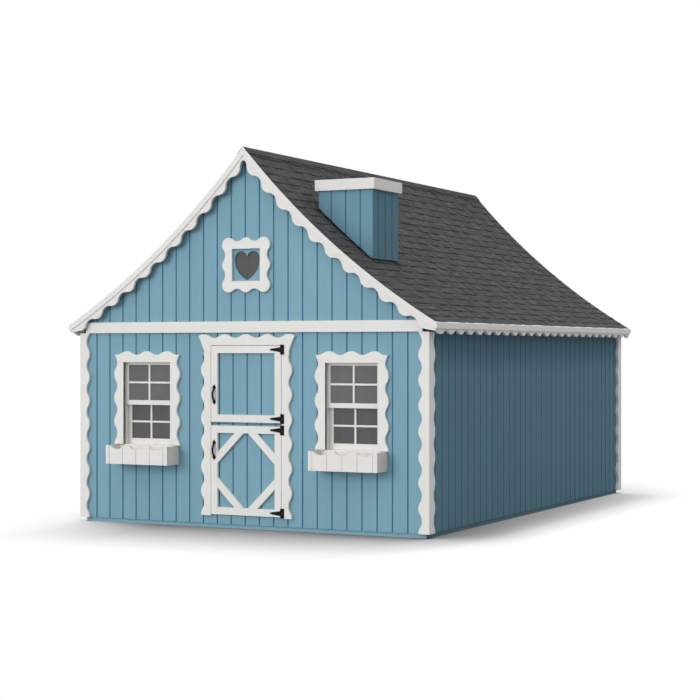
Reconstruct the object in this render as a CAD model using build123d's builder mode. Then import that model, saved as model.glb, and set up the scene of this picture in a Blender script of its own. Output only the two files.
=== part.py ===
"""A painted wooden playhouse: framed walls, grooved siding, scalloped trim, a bell-cast roof,
a two-leaf door, two sliding windows with flower boxes, a heart window and a toy chimney.

Millimetres. X runs to the right, Y to the back, Z up. The origin is on the ground in the middle
of the floor. The front wall faces -Y."""

from build123d import *
from math import asin, cos, sin, sqrt
import os

# ---- driving dimensions ------------------------------------------------------------------
frame_width = 2438.4        # 8 ft across the gable end
frame_length = 3657.6       # 12 ft along the ridge
sheet = 1219.2              # a 4 ft siding sheet
siding = 12.7               # siding thickness
board = 19.0                # trim board thickness
stud = 38.0                 # framing lumber, thin side
stud_depth = 63.5           # framing lumber, wide side
joist_depth = 89.0
deck = 15.9                 # floor deck thickness
seam = 0.3                  # gap left between neighbouring boards of one node

siding_foot = 27.0          # bottom edge of the siding
groove_pitch = 101.6
groove_width = 9.5
groove_depth = 4.5
side_groove_depth = 2.2     # the side sheets are grooved less deeply
front_groove = -13.6        # x of the groove nearest the middle of the front wall
side_groove = 12.1          # first groove behind the front siding face

scallop_pitch = 152.4
scallop_rise = 11.5         # lobe height above the middle line of a scalloped edge

arc_x = 3945.0              # centre of the roof's hollow curve, each side of the ridge
arc_z = 5750.0
roof_radius = 5180.5        # top of the shingles
shingle = 6.0
roof_deck = 12.0
rafter_depth = 70.0
rafter_bays = 6
eave_x = 1316.5             # outer face of the eave strip
gable_overhang = 56.0       # outer face of the rake strip, from the siding

door_half = 251.5           # half width of a door leaf
door_gap = 3.0
door_foot = 87.0
door_top = 1147.0
lower_trim_top = 646.0
upper_trim_foot = 669.0
leaf_split = 657.5          # middle of the gap between the leaf panels
stile = 46.0

window_x = 735.0            # middle of each window
window_width = 356.0
window_foot = 512.0
window_top = 1042.0
jamb = 12.0

# ---- worked out from them ----------------------------------------------------------------
half_width = frame_width / 2
half_length = frame_length / 2
side_face = half_width + siding
front_face = half_length + siding
wall_top = siding_foot + sheet
deck_top = joist_depth + deck
inner_x = half_width - stud_depth
inner_y = half_length - stud_depth
trim_face = front_face + board
deck_under = roof_radius + shingle + roof_deck
soffit_z = wall_top - 6.0
corner_board_top = 1229.7
frieze_top = 1300.0
casing_width = 59.5         # middle line of the scalloped casing edge, from the opening
end_stud_places = (203.2, 609.6)


# ---- shared shapes -----------------------------------------------------------------------
def arc_height(x, radius):
    """Height of a roof layer at x, for a layer whose curve has this radius."""
    return arc_z - sqrt(radius**2 - (arc_x - x) ** 2)


ridge_top = arc_height(0, roof_radius)


def arc_point(angle, radius):
    """Point of a roof layer at an angle, in radians from straight down, about the curve's centre."""
    return (arc_x - radius * sin(angle), arc_z - radius * cos(angle))


def arc_across(x0, x1, radius):
    """Part of a roof layer's curve, from x0 to x1."""
    middle = (x0 + x1) / 2
    ends = [(x, arc_height(x, radius)) for x in (x0, middle, x1)]
    ThreePointArc(*ends)


def scallop(s, pitch=scallop_pitch, rise=scallop_rise):
    """Height of a scalloped edge at distance s from the middle of a lobe: arcs, alternately out and in."""
    half = pitch / 2
    along = (s + half / 2) % pitch
    side = 1 if along < half else -1
    across = along % half - half / 2
    radius = (half**2 / 4 + rise**2) / (2 * rise)
    return side * (sqrt(radius**2 - across**2) - (radius - rise))


def scallop_edge(place, start, end, pitch=scallop_pitch, rise=scallop_rise):
    """Arcs of a scalloped edge from start to end, where place(s, height) is a point of it."""
    half = pitch / 2
    first = int((start / half) - 0.5) - 2
    last = int((end / half) + 0.5) + 2
    turns = [(k + 0.5) * half for k in range(first, last)]
    inner = [(s, place(s, 0)) for s in turns if start + 1 < s < end - 1]
    ends = [(s, place(s, scallop(s, pitch, rise))) for s in (start, end)]
    stops = [ends[0]] + inner + [ends[1]]
    for (a, low), (b, high) in zip(stops, stops[1:]):
        middle = (a + b) / 2
        ThreePointArc(low, place(middle, scallop(middle, pitch, rise)), high)


def front_plane(depth=0.0):
    """Drawing plane of the front wall, this far in front of the siding face. It faces -Y."""
    return Plane.XZ.offset(front_face + depth)


def side_plane(depth=0.0):
    """Drawing plane of the right wall, this far outside the siding face. It faces +X."""
    return Plane.YZ.offset(side_face + depth)


def block(low, high, mode=Mode.ADD):
    """A rectangular board between two corners, or the same shape cut away."""
    size = [b - a for a, b in zip(low, high)]
    middle = [(a + b) / 2 for a, b in zip(low, high)]
    with Locations(tuple(middle)):
        Box(*size, mode=mode)


def rectangle(x0, x1, z0, z1, mode=Mode.ADD):
    """A rectangle between two corners of the current sketch."""
    with Locations(((x0 + x1) / 2, (z0 + z1) / 2)):
        Rectangle(x1 - x0, z1 - z0, mode=mode)


def groove_places(x0, x1, first):
    """Groove positions between x0 and x1, on the pitch that passes through first."""
    lowest = int((x0 - first) // groove_pitch) + 1
    places = [first + k * groove_pitch for k in range(lowest, lowest + 60)]
    return [x for x in places if x0 + groove_width < x < x1 - groove_width]


def cut_front_grooves(x0, x1, z0, z1, first=front_groove, depth=0.0):
    """Grooves in a sheet whose face is this far in front of the front siding face."""
    face = -front_face - depth
    spots = [(x, face, (z0 + z1) / 2) for x in groove_places(x0, x1, first)]
    with Locations(*spots):
        Box(groove_width, 2 * groove_depth, z1 - z0 + 2, mode=Mode.SUBTRACT)


def save(piece, name):
    piece.part.label = name
    export_step(piece.part, f"parts/{name}.step")


# ---- floor -------------------------------------------------------------------------------
def make_floor_joists():
    with BuildPart() as joists:
        for side in (-1, 1):
            outer = side * half_width
            inner = side * (half_width - stud)
            low, high = sorted((outer, inner))
            block((low, -half_length, 0), (high, half_length, joist_depth))
        bays = 8            # an even number, so that one joist lies across the middle
        step = (frame_length - stud) / bays
        reach = half_width - stud - seam
        for k in range(bays + 1):
            y = -half_length + k * step
            block((-reach, y, 0), (reach, y + stud, joist_depth))
    return joists


def make_floor_deck():
    with BuildPart() as floor:
        block((-half_width, -half_length, joist_depth), (half_width, half_length, deck_top))
        fillet(floor.edges().filter_by(Axis.Z), radius=1.5)
    return floor


# ---- wall framing ------------------------------------------------------------------------
door_rough = 262.3          # half width between the door studs
door_rebate = 9.0           # how far the leaves lap the jambs and the head


def make_wall_plates():
    with BuildPart() as plates:
        for z in (deck_top, wall_top - stud):
            block((inner_x, -half_length, z), (half_width, half_length, z + stud))
            block((-inner_x + seam, inner_y, z), (inner_x - seam, half_length, z + stud))
        top = wall_top - stud
        block((-inner_x + seam, -half_length, top), (inner_x - seam, -inner_y, wall_top))
        foot = deck_top + stud
        block((door_rough, -half_length, deck_top), (inner_x - seam, -inner_y, foot))
        mirror(about=Plane.YZ)
    return plates


stud_foot = deck_top + stud + seam
stud_head = wall_top - stud - seam


def make_side_studs():
    with BuildPart() as studs:
        bays = 6
        step = (frame_length - stud) / bays
        for k in range(bays + 1):
            y = -half_length + k * step
            block((inner_x, y, stud_foot), (half_width, y + stud, stud_head))
        mirror(about=Plane.YZ)
    return studs


def make_end_studs():
    """Studs of the front and back walls. The front ones stand beside the door and the windows."""
    trimmer = window_width / 2 + jamb + seam
    front = (door_rough + stud / 2, window_x - trimmer - stud / 2, window_x + trimmer + stud / 2,
             inner_x - seam - stud / 2)
    with BuildPart() as studs:
        for x in front:
            block((x - stud / 2, -half_length, stud_foot), (x + stud / 2, -inner_y, stud_head))
        for x in (*end_stud_places, inner_x - seam - stud / 2):
            block((x - stud / 2, inner_y, stud_foot), (x + stud / 2, half_length, stud_head))
        mirror(about=Plane.YZ)
    return studs


def make_opening_headers():
    """Short boards above and below each window, and one over the door."""
    reach = window_width / 2 + jamb
    with BuildPart() as headers:
        for z in (window_foot - jamb - seam - stud, window_top + jamb + seam):
            low = (window_x - reach, -half_length, z)
            block(low, (window_x + reach, -inner_y, z + stud))
        mirror(about=Plane.YZ)
        head = door_top + board - door_rebate
        block((-door_rough + seam, -half_length, head), (door_rough - seam, -inner_y, head + stud))
    return headers


def make_gable_framing():
    """The plate and the studs that fill each gable, cut to the curve of the end rafters."""
    reach = 1128.0
    under = deck_under + rafter_depth + seam
    plate_top = wall_top + stud + 0.2
    with BuildPart() as framing:
        block((-reach, -half_length, wall_top + 0.2), (reach, -inner_y, plate_top))
        with BuildSketch(Plane.XZ.offset(inner_y)):
            for x in end_stud_places:
                low, high = x - stud / 2, x + stud / 2
                with BuildLine():
                    Line((low, plate_top + seam), (high, plate_top + seam))
                    Line((high, plate_top + seam), (high, arc_height(high, under)))
                    Line((high, arc_height(high, under)), (low, arc_height(low, under)))
                    Line((low, arc_height(low, under)), (low, plate_top + seam))
                make_face()
            mirror(about=Plane.YZ)
        extrude(amount=stud_depth)
        mirror(about=Plane.XZ)
    return framing


# ---- siding ------------------------------------------------------------------------------
def window_hole():
    """Hole in a front sheet for the window frame."""
    clear = 1.0
    reach = window_width / 2 + jamb + clear
    rectangle(window_x - reach, window_x + reach, window_foot - jamb - clear,
              window_top + jamb + clear, mode=Mode.SUBTRACT)


def make_front_siding(side):
    """The front sheet on one side of the door (side is -1 on the left, 1 on the right)."""
    edge = door_half + door_gap
    with BuildPart() as sheet_part:
        with BuildSketch(front_plane()):
            rectangle(edge, side_face, siding_foot, wall_top)
            window_hole()
            if side < 0:
                mirror(about=Plane.YZ, mode=Mode.REPLACE)
        extrude(amount=-siding)
        x0, x1 = sorted((side * edge, side * side_face))
        cut_front_grooves(x0, x1, siding_foot, wall_top)
    return sheet_part


def make_front_siding_infill():
    """The strips of front siding above and below the door."""
    reach = door_half + door_gap - 0.1
    with BuildPart() as infill:
        for z0, z1 in ((siding_foot, door_foot - door_gap), (door_top + door_gap, wall_top)):
            block((-reach, -front_face, z0), (reach, -half_length, z1))
            cut_front_grooves(-reach, reach, z0, z1)
    return infill


heart_z = 1652.5            # middle of the heart window
heart_hole = 110.0          # half size of the hole behind its frame


def gable_outline():
    """Outline of a gable sheet, from the wall top to the underside of the roof deck."""
    foot = wall_top + seam
    radius = deck_under + seam
    peak = (0, arc_height(0, radius))
    with BuildLine() as outline:
        Line((-side_face, foot), (side_face, foot))
        Line((side_face, foot), (side_face, arc_height(side_face, radius)))
        arc_across(side_face, 0, radius)
        left = [(-x, arc_height(x, radius)) for x in (side_face / 2, side_face)]
        ThreePointArc(peak, *left)
        Line(left[1], (-side_face, foot))
    make_face(outline.edges())


def make_front_gable_siding():
    with BuildPart() as gable:
        with BuildSketch(front_plane()):
            gable_outline()
            rectangle(-heart_hole, heart_hole, heart_z - heart_hole, heart_z + heart_hole,
                      mode=Mode.SUBTRACT)
        extrude(amount=-siding)
        cut_front_grooves(-side_face, side_face, wall_top, ridge_top)
    return gable


def make_back_siding():
    with BuildPart() as back:
        for side in (-1, 1):
            low, high = sorted((side * seam / 2, side * side_face))
            block((low, half_length, siding_foot), (high, front_face, wall_top))
        spots = groove_places(-side_face, side_face, front_groove)
        middle = (siding_foot + wall_top) / 2
        with Locations(*[(x, front_face, middle) for x in spots]):
            Box(groove_width, 2 * groove_depth, sheet + 2, mode=Mode.SUBTRACT)
    return back


def make_back_gable_siding():
    with BuildPart() as gable:
        with BuildSketch(Plane.XZ.offset(-half_length)):
            gable_outline()
        extrude(amount=-siding)
        spots = groove_places(-side_face, side_face, front_groove)
        middle = (wall_top + ridge_top) / 2
        with Locations(*[(x, front_face, middle) for x in spots]):
            Box(groove_width, 2 * groove_depth, ridge_top - wall_top, mode=Mode.SUBTRACT)
    return gable


def make_side_siding():
    """Three sheets on each long side."""
    with BuildPart() as sides:
        for k in range(3):
            y = -half_length + k * sheet
            block((half_width, y + seam / 2, siding_foot), (side_face, y + sheet - seam / 2, wall_top))
        first = -front_face + side_groove
        spots = groove_places(-half_length, half_length, first)
        middle = (siding_foot + wall_top) / 2
        with Locations(*[(side_face, y, middle) for y in spots]):
            Box(2 * side_groove_depth, groove_width, sheet + 2, mode=Mode.SUBTRACT)
        mirror(about=Plane.YZ)
    return sides


# ---- wall trim ---------------------------------------------------------------------------
def scalloped_post(edge, outward, z0, z1, lobe_z):
    """Outline of an upright board with a straight edge at `edge` and scallops facing away from it.

    outward is the direction, +1 or -1, from the straight edge to the scalloped one."""
    def place(s, height):
        return (edge + outward * (casing_width + height), lobe_z + s)

    with BuildLine() as outline:
        Line((edge, z0), place(z0 - lobe_z, scallop(z0 - lobe_z)))
        scallop_edge(place, z0 - lobe_z, z1 - lobe_z)
        Line(place(z1 - lobe_z, scallop(z1 - lobe_z)), (edge, z1))
        Line((edge, z1), (edge, z0))
    make_face(outline.edges())


def make_corner_boards():
    """Two scalloped boards at each corner: one on the end wall, which covers the side one's edge."""
    with BuildPart() as corners:
        with BuildSketch(front_plane()):
            scalloped_post(side_face + board, -1, siding_foot, corner_board_top, siding_foot)
        extrude(amount=board)
        with BuildSketch(side_plane()):
            scalloped_post(-front_face + seam, 1, siding_foot, corner_board_top, siding_foot)
        extrude(amount=board)
        mirror(about=Plane.YZ)
        mirror(about=Plane.XZ)
    return corners


def make_frieze_boards():
    """The level band that covers the joint between wall and gable, front and back."""
    reach = 1206.0
    with BuildPart() as frieze:
        block((-reach, -trim_face, corner_board_top), (reach, -front_face, frieze_top))
        mirror(about=Plane.XZ)
    return frieze


# ---- roof --------------------------------------------------------------------------------
ridge_board_half = 9.5
nailer_x = 1268.0           # inner face of the eave backer
trim_x = nailer_x + board   # inner face of the scalloped eave trim
strip_x = trim_x + board    # inner face of the eave strip
rake_lath = 5.5             # thickness of the strip that caps the rake trim
rake_face = gable_overhang - rake_lath      # outer face of the rake trim, from the siding
rake_back = rake_face - board               # and its inner face
shingle_reach = rake_face - 0.2


def layer_outline(x0, x1, top, bottom):
    """A slice between two roof curves, from x0 to x1."""
    with BuildLine() as outline:
        arc_across(x0, x1, top)
        Line((x1, arc_height(x1, top)), (x1, arc_height(x1, bottom)))
        arc_across(x1, x0, bottom)
        Line((x0, arc_height(x0, bottom)), (x0, arc_height(x0, top)))
    make_face(outline.edges())


def make_rafters():
    with BuildPart() as rafters:
        step = (frame_length - stud) / rafter_bays
        for k in range(rafter_bays + 1):
            y = -half_length + k * step
            with BuildSketch(Plane.XZ.offset(-y)):
                x1 = nailer_x - seam
                layer_outline(ridge_board_half + seam, x1, deck_under, deck_under + rafter_depth)
                rectangle(inner_x - stud, eave_x, 0, wall_top + 0.2, mode=Mode.SUBTRACT)
            extrude(amount=-stud)
        mirror(about=Plane.YZ)
    return rafters


def make_ridge_board():
    depth = 125.0
    eased = 3.0
    top = arc_height(ridge_board_half, deck_under) - 0.2
    foot = top - depth
    with BuildPart() as ridge:
        block((-ridge_board_half, -half_length, foot), (ridge_board_half, half_length, top))
        chamfer(ridge.edges().filter_by(Axis.Y).group_by(Axis.Z)[0], length=eased)
    return ridge


def make_collar_ties():
    """Boards that tie each inner pair of rafters together, beside the rafters."""
    foot = 1905.0
    height = 63.5
    clear = 8.0             # between the ends of the ties and the roof deck
    tied_rafters = (1, 2, 4, 5)
    step = (frame_length - stud) / rafter_bays
    under = deck_under + clear
    reach = arc_x - sqrt(under**2 - (arc_z - foot - height) ** 2)
    low_reach = arc_x - sqrt(under**2 - (arc_z - foot) ** 2)
    with BuildPart() as ties:
        for k in tied_rafters:
            y = -half_length + k * step + stud + seam
            with BuildSketch(Plane.XZ.offset(-y)):
                with BuildLine():
                    Polyline((-low_reach, foot), (low_reach, foot), (reach, foot + height),
                             (-reach, foot + height), close=True)
                make_face()
            extrude(amount=-board)
    return ties


def make_roof_deck():
    with BuildPart() as sheathing:
        reach = front_face + rake_back - seam
        with BuildSketch(Plane.XZ.offset(reach)):
            layer_outline(0.2, trim_x - seam, roof_radius + shingle, deck_under)
        extrude(amount=-2 * reach)
        mirror(about=Plane.YZ)
    return sheathing


def make_shingles():
    """The shingle courses as one bent layer on each slope, inside the strips around its edges."""
    reach = front_face + shingle_reach
    with BuildPart() as cover:
        with BuildSketch(Plane.XZ.offset(reach)):
            layer_outline(0.2, strip_x - seam, roof_radius, roof_radius + shingle)
        extrude(amount=-2 * reach)
        mirror(about=Plane.YZ)
    return cover


def make_ridge_cap():
    """Overlapping cap tabs bent over the ridge."""
    tab_reach = 60.0
    tab_rise = 1.6
    pitch = 145.0
    length = 2 * (front_face + shingle_reach)
    count = int(length / pitch)
    step = length / count
    with BuildPart() as cap:
        for k in range(count):
            y = -length / 2 + k * step
            with BuildSketch(Plane.XZ.offset(-y)):
                layer_outline(0, tab_reach, roof_radius - tab_rise, roof_radius - 0.1)
                mirror(about=Plane.YZ)
            extrude(amount=-(step - seam))
    return cap


def make_fascia_backers():
    """Hidden boards that carry the eave and rake trim."""
    rake_backer = 38.0
    backer_end = 1165.0     # where the rake backers stop, above the walls
    top = roof_radius + shingle
    with BuildPart() as backers:
        with BuildSketch(Plane.XZ.offset(front_face)):
            with BuildLine():
                arc_across(nailer_x, trim_x - seam, deck_under + seam)
                corner = (trim_x - seam, arc_height(trim_x - seam, deck_under + seam))
                Polyline(corner, (corner[0], soffit_z), (nailer_x, soffit_z),
                         (nailer_x, arc_height(nailer_x, deck_under + seam)))
            make_face()
        extrude(amount=-2 * front_face)
        with BuildSketch(front_plane(0.1)):
            layer_outline(0.2, backer_end, deck_under + seam, top + rake_backer)
        extrude(amount=rake_back - 0.3)
        mirror(about=Plane.YZ)
        mirror(about=Plane.XZ)
    return backers


def make_soffits():
    with BuildPart() as soffits:
        low = (side_face + seam, -front_face, soffit_z)
        block(low, (nailer_x - seam, front_face, wall_top))
        mirror(about=Plane.YZ)
    return soffits


def make_eave_trim():
    """The scalloped board under each eave."""
    middle = 1227.0
    rise = 12.0
    lobe_y = 36.0           # first whole lobe, behind the front siding face
    reach = front_face + rake_back - seam

    def place(s, height):
        return (-front_face + lobe_y + s, middle - height)

    top = arc_height(strip_x, roof_radius + shingle) - 0.5
    start = -reach + front_face - lobe_y
    end = start + 2 * reach
    with BuildPart() as trim:
        with BuildSketch(Plane.YZ.offset(trim_x)):
            with BuildLine():
                scallop_edge(place, start, end, rise=rise)
                first = place(start, scallop(start, rise=rise))
                last = place(end, scallop(end, rise=rise))
                Polyline(last, (reach, top), (-reach, top), first)
            make_face()
        extrude(amount=board - seam)
        mirror(about=Plane.YZ)
    return trim


def make_eave_strips():
    """The plain strip that caps each eave trim."""
    foot = 1248.0
    top = roof_radius + 3.0     # just below the shingles' surface
    reach = front_face + rake_face - 0.1
    with BuildPart() as strips:
        with BuildSketch(Plane.XZ.offset(reach)):
            with BuildLine():
                arc_across(strip_x, eave_x, top)
                Polyline((eave_x, arc_height(eave_x, top)), (eave_x, foot), (strip_x, foot),
                         (strip_x, arc_height(strip_x, top)))
            make_face()
        extrude(amount=-2 * reach)
        mirror(about=Plane.YZ)
    return strips


rake_middle = roof_radius + 68.3
rake_rise = 15.0
rake_lobes = 10             # whole lobes from the ridge to the one cut off at the tail
tail_z = 1234.0             # foot of the rake, at the eave
tail_round = 10.0


def make_rake_trim():
    """The scalloped boards along each gable slope, cut nearly level at the eaves."""
    first_lobe = asin(arc_x / rake_middle) - scallop_pitch / 2 / rake_middle

    def place(s, height):
        return arc_point(first_lobe - s / rake_middle, rake_middle + height)

    start = -scallop_pitch / 2
    end = rake_lobes * scallop_pitch
    first = place(start, -rake_rise)
    notch = (0.2, first[1] + 5.0)
    top = roof_radius + shingle + 0.2
    with BuildPart() as trim:
        with BuildSketch(front_plane(rake_back)):
            with BuildLine():
                scallop_edge(place, start, end, rise=rake_rise)
                last = place(end, rake_rise)
                corner = (strip_x - seam, arc_height(strip_x - seam, top))
                Line(last, (strip_x - seam, tail_z))
                Line((strip_x - seam, tail_z), corner)
                arc_across(corner[0], 0.2, top)
                Polyline((0.2, arc_height(0.2, top)), notch, first)
            make_face()
        extrude(amount=board)
        mirror(about=Plane.YZ)
        mirror(about=Plane.XZ)
    return trim


def make_rake_strips():
    """The plain strip that caps each rake trim, its tail rounded."""
    width = 38.0
    shy = 4.0               # its top edge stays this far below the shingles' surface
    slant = 0.12            # slope of the cut at the tail
    with BuildPart() as strips:
        with BuildSketch(front_plane(rake_face + 0.1)) as face:
            layer_outline(0.2, eave_x, roof_radius + shy, roof_radius + width)
            with BuildLine() as below:
                run = 4 * width
                Polyline((eave_x, tail_z), (eave_x, 0), (eave_x - run, 0),
                         (eave_x - run, tail_z + slant * run), close=True)
            make_face(below.edges(), mode=Mode.SUBTRACT)
            tip = face.vertices().sort_by_distance((eave_x, -front_face, tail_z))[0]
            fillet(tip, radius=tail_round)
        extrude(amount=rake_lath - 0.1)
        mirror(about=Plane.YZ)
        mirror(about=Plane.XZ)
    return strips


# ---- door --------------------------------------------------------------------------------
hinge_x = 253.0             # hinge pin axis
knuckle = 4.9
hinge_y = -trim_face - 5.0
hinge_heights = (110.0, 624.0, 694.0, 1123.0)
hinge_height = 60.0
hinge_leaf = 2.5            # thickness of the hinge metal
middle_knuckle = 12.0       # half height of the strap's knuckle
pin_radius = 2.4
pin_clearance = 0.05
strap_length = 75.0
strap_screw_places = (22.0, 44.0, 64.0)     # from the pin, along the strap
handle_x = -228.5
handle_heights = (492.0, 840.0)
handle_screw = 53.0         # from the middle of the handle to each screw
screw_radius = 2.0
screw_clearance = 0.05
screw_length = 16.0


def make_door_jambs():
    """Jambs and head behind the leaves, which close against them, and the threshold."""
    inner = door_half - door_rebate + 0.5
    foot = deck_top
    head = door_top - door_rebate
    with BuildPart() as jambs:
        top = head - seam
        block((inner, -half_length, foot), (inner + board, -inner_y, top))
        mirror(about=Plane.YZ)
        reach = inner + board
        block((-reach, -half_length, head), (reach, -inner_y, head + board - 0.5))
        block((-inner + seam, -half_length, foot), (inner - seam, -inner_y, foot + siding))
    return jambs


def plate_screws():
    """Places of the screws that hold the hinge plates, on the casing face."""
    across = 14.0
    spacing = 22.5
    return [(hinge_x + across, z + k * spacing) for z in hinge_heights for k in (-1, 0, 1)]


def strap_screws(leaf):
    """Places of the screws of one leaf: its two straps and its handle. leaf is 0 for the lower one."""
    heights = hinge_heights[2 * leaf:2 * leaf + 2]
    on_straps = [(hinge_x - dx, z) for z in heights for dx in strap_screw_places]
    on_handle = [(handle_x, handle_heights[leaf] + way * handle_screw) for way in (-1, 1)]
    return on_straps + on_handle


def screw_holes(places):
    with BuildSketch(front_plane(board)) as profile:
        with Locations(*places):
            Circle(screw_radius + screw_clearance)
    extrude(profile.sketch, amount=-board, mode=Mode.SUBTRACT)


def header_outline(half_opening, foot, leg_foot, top_middle, end, tip):
    """A board over an opening: a scalloped top with a lobe in the middle, and flared ends.

    The scallops run to end each way, and the flared corners reach to tip. The ends come down to
    leg_foot, past the board's bottom edge at foot."""
    def place(s, height):
        return (s, top_middle + height)

    reach = half_opening + casing_width - scallop_rise
    corner_z = place(end, scallop(end))[1] + 1
    flare = 0.42            # how far out the corner is halfway down: 0.5 would be straight
    waist = (reach + (tip - reach) * flare, (corner_z + leg_foot) / 2)
    with BuildLine() as outline:
        scallop_edge(place, -end, end)
        for way in (-1, 1):
            Line((way * end, corner_z - 1), (way * tip, corner_z))
            ThreePointArc((way * tip, corner_z), (way * waist[0], waist[1]), (way * reach, leg_foot))
            if leg_foot < foot:
                Polyline((way * reach, leg_foot), (way * half_opening, leg_foot),
                         (way * half_opening, foot), (0, foot))
            else:
                Line((way * reach, foot), (0, foot))
    make_face(outline.edges())


def make_door_casing():
    """Scalloped boards each side of the door, and the header whose ends flare past them."""
    inner = door_half + door_gap
    head_foot = door_top + door_gap
    side_foot = 78.0
    side_top = 1105.0
    lobe_z = 82.0           # lowest lobe of the side boards
    crest = 1208.5          # middle line of the header's scallops
    shoulder = 2.24 * scallop_pitch
    tip = 346.0
    with BuildPart() as casing:
        with BuildSketch(front_plane()):
            scalloped_post(inner, 1, side_foot, side_top - seam, lobe_z)
            mirror(about=Plane.YZ)
            header_outline(inner, head_foot, side_top, crest, shoulder, tip)
        extrude(amount=board)
        screw_holes(plate_screws())
    return casing


def make_leaf_panel(z0, z1):
    """The grooved panel of one door leaf."""
    with BuildPart() as panel:
        block((-door_half, -front_face, z0), (door_half, -half_length, z1))
        cut_front_grooves(-door_half, door_half, z0, z1, first=0.0)
    return panel


def leaf_frame_outline(z0, z1):
    """Stiles and rails of one leaf, with a seam where they meet."""
    inner = door_half - stile
    for side in (-1, 1):
        low, high = sorted((side * inner, side * door_half))
        rectangle(low, high, z0, z1)
    for low in (z0, z1 - stile):
        rectangle(-inner + seam, inner - seam, low, low + stile)


def make_upper_leaf_trim():
    with BuildPart() as trim:
        with BuildSketch(front_plane()):
            leaf_frame_outline(upper_trim_foot, door_top)
        extrude(amount=board)
        screw_holes(strap_screws(1))
    return trim


def make_lower_leaf_trim():
    """Stiles and rails, and four slanting braces that make a diamond."""
    inner = door_half - stile - seam
    low = door_foot + stile + seam
    high = lower_trim_top - stile - seam
    middle = (low + high) / 2
    offset = 141.5          # from the middle of the diamond to the middle of each brace
    length = 600.0          # before its ends are cut to the frame
    with BuildPart() as trim:
        with BuildSketch(front_plane()):
            leaf_frame_outline(door_foot, lower_trim_top)
        extrude(amount=board)
        for across in (-1, 1):
            for up in (-1, 1):
                with BuildSketch(front_plane()):
                    turn = 45 if across * up < 0 else -45
                    with Locations(Location((across * offset, middle + up * offset, 0), (0, 0, turn))):
                        Rectangle(length, stile)
                    rectangle(-inner, inner, low, high, mode=Mode.INTERSECT)
                extrude(amount=board)
        screw_holes(strap_screws(0))
    return trim


def hinge_barrel(z, low, high):
    """A length of knuckle about the pin, with its bore."""
    with BuildSketch(Plane.XY.offset(z + low)) as profile:
        with Locations((hinge_x, hinge_y)):
            Circle(knuckle)
    extrude(profile.sketch, amount=high - low)


def hinge_bore(z):
    with BuildSketch(Plane.XY.offset(z - hinge_height / 2)) as profile:
        with Locations((hinge_x, hinge_y)):
            Circle(pin_radius + pin_clearance)
    extrude(profile.sketch, amount=hinge_height, mode=Mode.SUBTRACT)


def make_hinge_plates():
    """The four upright plates on the casing, each with an upper and a lower knuckle."""
    half = hinge_height / 2
    width = 20.0
    with BuildPart() as plates:
        for z in hinge_heights:
            with BuildSketch(front_plane(board)):
                with BuildLine():
                    Polyline((hinge_x, z - half), (hinge_x + width, z - half),
                             (hinge_x + width, z + half), (hinge_x, z + half), close=True)
                make_face()
                reach = middle_knuckle + seam
                rectangle(hinge_x - 1, hinge_x + 6, z - reach, z + reach, mode=Mode.SUBTRACT)
            extrude(amount=hinge_leaf)
            hinge_barrel(z, middle_knuckle + seam, half)
            hinge_barrel(z, -half, -middle_knuckle - seam)
            hinge_bore(z)
        with BuildSketch(front_plane(board)):
            with Locations(*plate_screws()):
                Circle(screw_radius + screw_clearance)
        extrude(amount=hinge_leaf, mode=Mode.SUBTRACT)
    return plates


def make_hinge_straps(leaf):
    """The two tapering straps on one leaf."""
    base = 15.0
    tip = 5.0
    root = 5.0              # the sides run parallel beside the knuckle
    flare = 9.0             # and spread to the base up to here, from the pin
    with BuildPart() as straps:
        for z in hinge_heights[2 * leaf:2 * leaf + 2]:
            end = hinge_x - strap_length
            with BuildSketch(front_plane(board)):
                with BuildLine():
                    Polyline((end, z + tip), (hinge_x - flare, z + base),
                             (hinge_x - root, z + middle_knuckle), (hinge_x, z + middle_knuckle),
                             (hinge_x, z - middle_knuckle), (hinge_x - root, z - middle_knuckle),
                             (hinge_x - flare, z - base), (end, z - tip))
                    ThreePointArc((end, z - tip), (end - tip, z), (end, z + tip))
                make_face()
            extrude(amount=hinge_leaf)
            hinge_barrel(z, -middle_knuckle, middle_knuckle)
            hinge_bore(z)
        with BuildSketch(front_plane(board)):
            with Locations(*strap_screws(leaf)[:-2]):
                Circle(screw_radius + screw_clearance)
        extrude(amount=hinge_leaf, mode=Mode.SUBTRACT)
    return straps


def make_hinge_pins():
    head = 3.8
    with BuildPart() as pins:
        for z in hinge_heights:
            with BuildSketch(Plane.XY.offset(z - hinge_height / 2)):
                with Locations((hinge_x, hinge_y)):
                    Circle(pin_radius)
            extrude(amount=hinge_height + 0.2)
            with BuildSketch(Plane.XY.offset(z + hinge_height / 2 + 0.2)):
                with Locations((hinge_x, hinge_y)):
                    Circle(head)
            extrude(amount=1.0)
    return pins


def make_screws(places, thick):
    """Pan-head wood screws whose heads sit on metal of this thickness."""
    head = 3.8
    head_rise = 1.8
    with BuildPart() as screws:
        with BuildSketch(front_plane(board + thick)):
            with Locations(*places):
                Circle(head)
        extrude(amount=head_rise)
        with BuildSketch(front_plane(board + thick)):
            with Locations(*places):
                Circle(screw_radius)
        extrude(amount=-screw_length)
    return screws


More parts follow.
